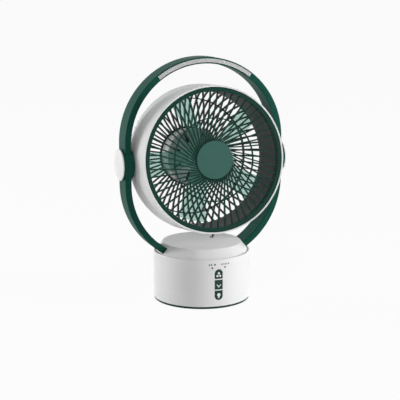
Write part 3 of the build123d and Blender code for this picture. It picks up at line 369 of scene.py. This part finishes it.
def dress_nodes() -> None:
    """Gives every CAD node its finish; a node with none listed is steel."""
    for name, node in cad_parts.items():
        finish = NODE_FINISHES.get(name, STEEL)
        node.data.materials.clear()
        node.data.materials.append(material_of(finish))
        LOG.info("dressed %s in %s", name, finish.name)


class Bench:
    """Bench work shared by the modelled pieces: starting shapes, joins and finishing."""

    disc_sides: int = 40
    smooth_angle: float = math.radians(30)

    @staticmethod
    def pick(piece: bpy.types.Object) -> None:
        """Selects one piece alone and makes it active.

        Args:
            piece: The piece.
        """
        bpy.ops.object.select_all(action="DESELECT")
        piece.select_set(True)
        bpy.context.view_layer.objects.active = piece

    @classmethod
    def disc(cls, place: Vector, radius: float, depth: float) -> bpy.types.Object:
        """Adds a short round bar that lies along Y.

        Args:
            place: Its middle, in metres.
            radius: Its radius, in metres.
            depth: Its length, in metres.

        Returns:
            The new bar.
        """
        bpy.ops.object.select_all(action="DESELECT")
        bpy.ops.mesh.primitive_cylinder_add(vertices=cls.disc_sides, radius=radius, depth=depth,
                                            location=place, rotation=(math.pi / 2, 0.0, 0.0))
        return bpy.context.object

    @staticmethod
    def bar(place: Vector, size: Triple, turn: float = 0.0) -> bpy.types.Object:
        """Adds a square bar, turned about Y.

        Args:
            place: Its middle, in metres.
            size: Its sides along X, Y and Z, in metres.
            turn: Its turn about Y, in degrees.

        Returns:
            The new bar.
        """
        bpy.ops.object.select_all(action="DESELECT")
        bpy.ops.mesh.primitive_cube_add(size=1.0, location=place, rotation=(0.0, math.radians(turn), 0.0))
        bpy.context.object.scale = size
        return bpy.context.object

    @classmethod
    def settle(cls, piece: bpy.types.Object) -> None:
        """Puts a piece's place, turn and scale into its mesh."""
        cls.pick(piece)
        bpy.ops.object.transform_apply(location=True, rotation=True, scale=True)

    @classmethod
    def carve(cls, piece: bpy.types.Object, tool: bpy.types.Object, carving: Carving) -> None:
        """Shapes a piece with another one, which is used up.

        Args:
            piece: The piece that stays.
            tool: The piece that joins, cuts or trims it.
            carving: Which of these it does.
        """
        cls.pick(piece)
        step = piece.modifiers.new("carve", "BOOLEAN")
        step.operation = carving.value
        step.solver = "EXACT"
        step.object = tool
        bpy.ops.object.modifier_apply(modifier=step.name)
        bpy.data.objects.remove(tool)

    @classmethod
    def join(cls, pieces: list[bpy.types.Object]) -> bpy.types.Object:
        """Joins pieces into one.

        Args:
            pieces: The pieces, of which the first takes up the others.

        Returns:
            The joined piece.
        """
        for piece in pieces[1:]:
            cls.carve(pieces[0], piece, Carving.JOIN)
        return pieces[0]

    @classmethod
    def finish(cls, piece: bpy.types.Object, name: str, finish: Finish, body: Body, slot: Slot) -> None:
        """Names, smooths, paints and seats a finished piece.

        Args:
            piece: The piece.
            name: Its name in the object.
            finish: Its finish.
            body: The body that it rides on.
            slot: Not used.
        """
        cls.settle(piece)
        bpy.ops.object.shade_smooth_by_angle(angle=cls.smooth_angle)
        piece.name = name
        piece.data.name = name
        piece.data.materials.clear()
        piece.data.materials.append(material_of(finish))
        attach(piece, body.value)
        LOG.info("made %s: %d faces", name, len(piece.data.polygons))


@dataclass
class Printing:
    """Pad printing on the base: an icon on each button and small marks over the indicator lights.

    Each mark is its place along the row and its width, in millimetres, and its turn, in degrees.
    """

    film: float = 0.06 * MM
    bite: float = 0.1 * MM
    reach: float = 2.0 * MM
    wrap_sides: int = 256
    lobe_r: float = 1.65 * MM
    lobe_out: float = 2.6 * MM
    lobe_angles: tuple[float, ...] = (90.0, 212.0, 328.0)
    fan_drop: float = 1.3 * MM
    arm_long: float = 5.4 * MM
    arm_wide: float = 1.2 * MM
    arm_turn: float = 51.0
    chevron_drop: float = 3.4 * MM
    globe_r: float = 2.6 * MM
    globe_lift: float = 0.8 * MM
    cap_wide: float = 2.3 * MM
    cap_long: float = 4.9 * MM
    mark_lift: float = 4.7 * MM
    mark_high: float = 2.2 * MM
    charge_bars: Bars = ((-4.4, 1.6, 24.0), (-1.2, 1.6, -24.0), (4.0, 2.4, 0.0))
    level_bars: Bars = ((-5.0, 1.6, 12.0), (-2.2, 0.8, 0.0), (0.4, 1.5, 0.0), (3.2, 0.8, 12.0),
                        (6.0, 1.4, 0.0))

    @staticmethod
    def face(button: str) -> Vector:
        """The middle of a button's front, which is on the base's middle plane."""
        low, high = (Vector(corner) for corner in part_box(button))
        return Vector((0.0, low.y, (low.z + high.z) / 2))

    def wrap(self, piece: bpy.types.Object, radius: float) -> None:
        """Trims a bar to a thin film on an upright round wall.

        Args:
            piece: The bar that crosses the wall.
            radius: The wall's radius, in metres.
        """
        Bench.settle(piece)
        for grow, carving in ((self.film, Carving.TRIM), (-self.bite, Carving.CUT)):
            bpy.ops.object.select_all(action="DESELECT")
            bpy.ops.mesh.primitive_cylinder_add(vertices=self.wrap_sides, radius=radius + grow,
                                                depth=2 * CAD_BOX[1][2],
                                                rotation=(0.0, 0.0, math.pi / self.wrap_sides))
            Bench.carve(piece, bpy.context.object, carving)

    def fan_icon(self) -> None:
        """Prints three lobes, a fan wheel, on the top button."""
        face = self.face("fan_button")
        middle = face - Vector((0.0, 0.0, self.fan_drop))
        lobes = []
        for angle in self.lobe_angles:
            turn = math.radians(angle)
            place = middle + self.lobe_out * Vector((math.cos(turn), 0.0, math.sin(turn)))
            lobes.append(Bench.disc(place, self.lobe_r, self.reach))
        icon = Bench.join(lobes)
        self.wrap(icon, -face.y)
        Bench.finish(icon, "fan_icon", PRINT, Body.FAN_BUTTON, Slot.WHITE_SHELL)

    def swing_icon(self) -> None:
        """Prints a chevron, the range of the swing, on the middle button."""
        face = self.face("swing_button")
        tip = face - Vector((0.0, 0.0, self.chevron_drop))
        turn = math.radians(self.arm_turn)
        size = (self.arm_long, self.reach, self.arm_wide)
        arms = []
        for side in Side:
            along = Vector((side.value * math.cos(turn), 0.0, math.sin(turn)))
            middle = tip + along * (self.arm_long - self.arm_wide) / 2
            arms.append(Bench.bar(middle, size, -side.value * self.arm_turn))
        icon = Bench.join(arms)
        self.wrap(icon, -face.y)
        Bench.finish(icon, "swing_icon", PRINT, Body.SWING_BUTTON, Slot.WHITE_SHELL)

    def lamp_icon(self) -> None:
        """Prints a lamp bulb on the bottom button."""
        face = self.face("light_button")
        middle = face + Vector((0.0, 0.0, self.globe_lift))
        globe = Bench.disc(middle, self.globe_r, self.reach)
        cap_middle = middle - Vector((0.0, 0.0, self.cap_long / 2))
        icon = Bench.join([globe, Bench.bar(cap_middle, (self.cap_wide, self.reach, self.cap_long))])
        self.wrap(icon, -face.y)
        Bench.finish(icon, "lamp_icon", PRINT, Body.LIGHT_BUTTON, Slot.WHITE_SHELL)

    def marks(self, name: str, side: Side, bars: Bars) -> None:
        """Prints a short row of marks over one indicator light.

        Args:
            name: The row's name.
            side: The light's side.
            bars: The row's marks.
        """
        low, high = (Vector(corner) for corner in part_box("indicator_lenses"))
        wall = -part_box("base_shell")[0][1]
        lens_r = (high.z - low.z) / 2
        middle = Vector((side.value * (high.x - lens_r), 0.0, (low.z + high.z) / 2 + self.mark_lift))
        made = []
        for along, wide, turn in bars:
            across = middle.x + along * MM
            place = Vector((across, -math.sqrt(wall ** 2 - across ** 2), middle.z))
            made.append(Bench.bar(place, (wide * MM, self.reach, self.mark_high), turn))
        row = Bench.join(made)
        self.wrap(row, wall)
        Bench.finish(row, name, LEGEND, Body.BASE, Slot.MOTOR_GREY)

    def build(self) -> None:
        """Prints everything on the base."""
        self.fan_icon()
        self.swing_icon()
        self.lamp_icon()
        self.marks("charge_marks", Side.LEFT, self.charge_bars)
        self.marks("level_marks", Side.RIGHT, self.level_bars)


@dataclass(frozen=True)
class Lamp:
    """One soft round studio lamp."""

    name: str
    place: Triple
    size: float
    power: float

    def hang(self, target: Vector) -> None:
        """Hangs the lamp.

        Args:
            target: The point that it faces, in metres.
        """
        data = bpy.data.lights.new(self.name, "AREA")
        data.shape = "DISK"
        data.size = self.size
        data.energy = self.power
        lamp = bpy.data.objects.new(self.name, data)
        bpy.context.scene.collection.objects.link(lamp)
        lamp.location = self.place
        lamp.rotation_euler = (target - lamp.location).to_track_quat("-Z", "Y").to_euler()


@dataclass
class Studio:
    """The floor, the soft lamps, the white surround and the camera at the photograph's view.

    The surround dims towards the front, so that it doesn't wash out the faces that look there.
    """

    frame_px: float = 400.0
    focal_px: float = 1148.56
    axis_px: tuple[float, float] = (201.48, 172.61)
    sensor_mm: float = 36.0
    far_clip: float = 100.0
    target: Triple = (0.0, 0.0, 0.191)
    distance: float = 1.71475
    azimuth: float = -20.47
    elevation: float = 10.09
    floor_size: float = 70.0
    floor_colour: str = "#fbfbfb"
    floor_roughness: float = 0.9
    floor_glow: float = 0.93
    ambient: float = 0.33
    dim_from: float = -0.2
    dim_to: float = -0.75
    dim_level: float = 0.3
    lamps: tuple[Lamp, ...] = (
        Lamp("key_lamp", (2.0, -1.3, 0.4), 1.0, 40.0),
        Lamp("edge_lamp", (-1.7, 1.2, 0.5), 1.0, 22.0),
        Lamp("top_lamp", (0.2, -0.1, 2.6), 1.8, 2.0),
        Lamp("fill_lamp", (-0.5, -1.4, 2.0), 0.8, 9.0),
    )

    def camera(self) -> None:
        """Sets the camera where the fitted outlines of the object put it."""
        data = bpy.data.cameras.new("photo_camera")
        data.sensor_width = self.sensor_mm
        data.lens = self.focal_px / self.frame_px * self.sensor_mm
        data.shift_x = (self.frame_px / 2 - self.axis_px[0]) / self.frame_px
        data.shift_y = (self.axis_px[1] - self.frame_px / 2) / self.frame_px
        data.clip_end = self.far_clip
        camera = bpy.data.objects.new("photo_camera", data)
        bpy.context.scene.collection.objects.link(camera)
        turn, rise = math.radians(self.azimuth), math.radians(self.elevation)
        back = Vector((math.sin(turn) * math.cos(rise), -math.cos(turn) * math.cos(rise), math.sin(rise)))
        camera.location = Vector(self.target) + self.distance * back
        camera.rotation_euler = (-back).to_track_quat("-Z", "Y").to_euler()
        bpy.context.scene.camera = camera

    @staticmethod
    def seen(tree: bpy.types.NodeTree) -> bpy.types.NodeSocket:
        """Tells the rays that see the surround from those that only carry light.

        Args:
            tree: The node tree that asks.

        Returns:
            A socket that is one for camera, glossy and transmission rays.
        """
        path = add_node(tree, "ShaderNodeLightPath")
        direct = add_node(tree, "ShaderNodeMath", links={0: path.outputs["Is Camera Ray"],
                                                         1: path.outputs["Is Transmission Ray"]},
                          operation="MAXIMUM")
        either = add_node(tree, "ShaderNodeMath", links={0: direct.outputs[0],
                                                         1: path.outputs["Is Glossy Ray"]},
                          operation="MAXIMUM")
        return either.outputs[0]

    def floor(self) -> None:
        """Lays the pale floor, which glows white and still takes a trace of the object's shadow."""
        bpy.ops.object.select_all(action="DESELECT")
        bpy.ops.mesh.primitive_plane_add(size=self.floor_size)
        floor = bpy.context.object
        floor.name = "floor"
        made, shader = start_material("white_paper_floor", {"Base Color": linear(self.floor_colour),
                                                            "Roughness": self.floor_roughness})
        tree = made.node_tree
        share = add_node(tree, "ShaderNodeMath", {1: self.floor_glow}, {0: self.seen(tree)},
                         operation="MULTIPLY")
        glow = add_node(tree, "ShaderNodeEmission")
        blend = add_node(tree, "ShaderNodeMixShader", links={0: share.outputs[0], 1: shader.outputs[0],
                                                             2: glow.outputs[0]})
        tree.links.new(blend.outputs[0], tree.nodes["Material Output"].inputs["Surface"])
        floor.data.materials.append(made)

    def surround(self) -> None:
        """Puts up the surround: full white to the camera, and dimmer where it only lights the object."""
        world = bpy.data.worlds.new("white_surround")
        bpy.context.scene.world = world
        world.use_nodes = True
        tree = world.node_tree
        place = add_node(tree, "ShaderNodeTexCoord")
        axes = add_node(tree, "ShaderNodeSeparateXYZ", links={0: place.outputs["Generated"]})
        dim = add_node(tree, "ShaderNodeMapRange", {"From Min": self.dim_from, "From Max": self.dim_to,
                                                    "To Min": 1.0, "To Max": self.dim_level},
                       {"Value": axes.outputs["Y"]})
        level = add_node(tree, "ShaderNodeMapRange", {"To Min": self.ambient, "To Max": 1.0},
                         {"Value": self.seen(tree)})
        dimmed = add_node(tree, "ShaderNodeMath", links={0: level.outputs["Result"],
                                                         1: dim.outputs["Result"]},
                          operation="MULTIPLY")
        path = add_node(tree, "ShaderNodeLightPath")
        strength = add_node(tree, "ShaderNodeMath", links={0: dimmed.outputs[0],
                                                           1: path.outputs["Is Camera Ray"]},
                            operation="MAXIMUM")
        shade = tree.nodes["Background"]
        shade.inputs["Color"].default_value = linear("#ffffff")
        tree.links.new(strength.outputs[0], shade.inputs["Strength"])

    def build(self) -> None:
        """Sets the whole studio up."""
        bpy.context.scene.view_settings.view_transform = "Standard"
        self.camera()
        self.floor()
        for lamp in self.lamps:
            lamp.hang(Vector(self.target))
        self.surround()


def main() -> None:
    """Builds and dresses every sub-assembly in order."""
    logging.basicConfig(level=logging.INFO, format="%(message)s")
    dress_nodes()
    Printing().build()
    Studio().build()


if __name__ == "__main__":
    main()
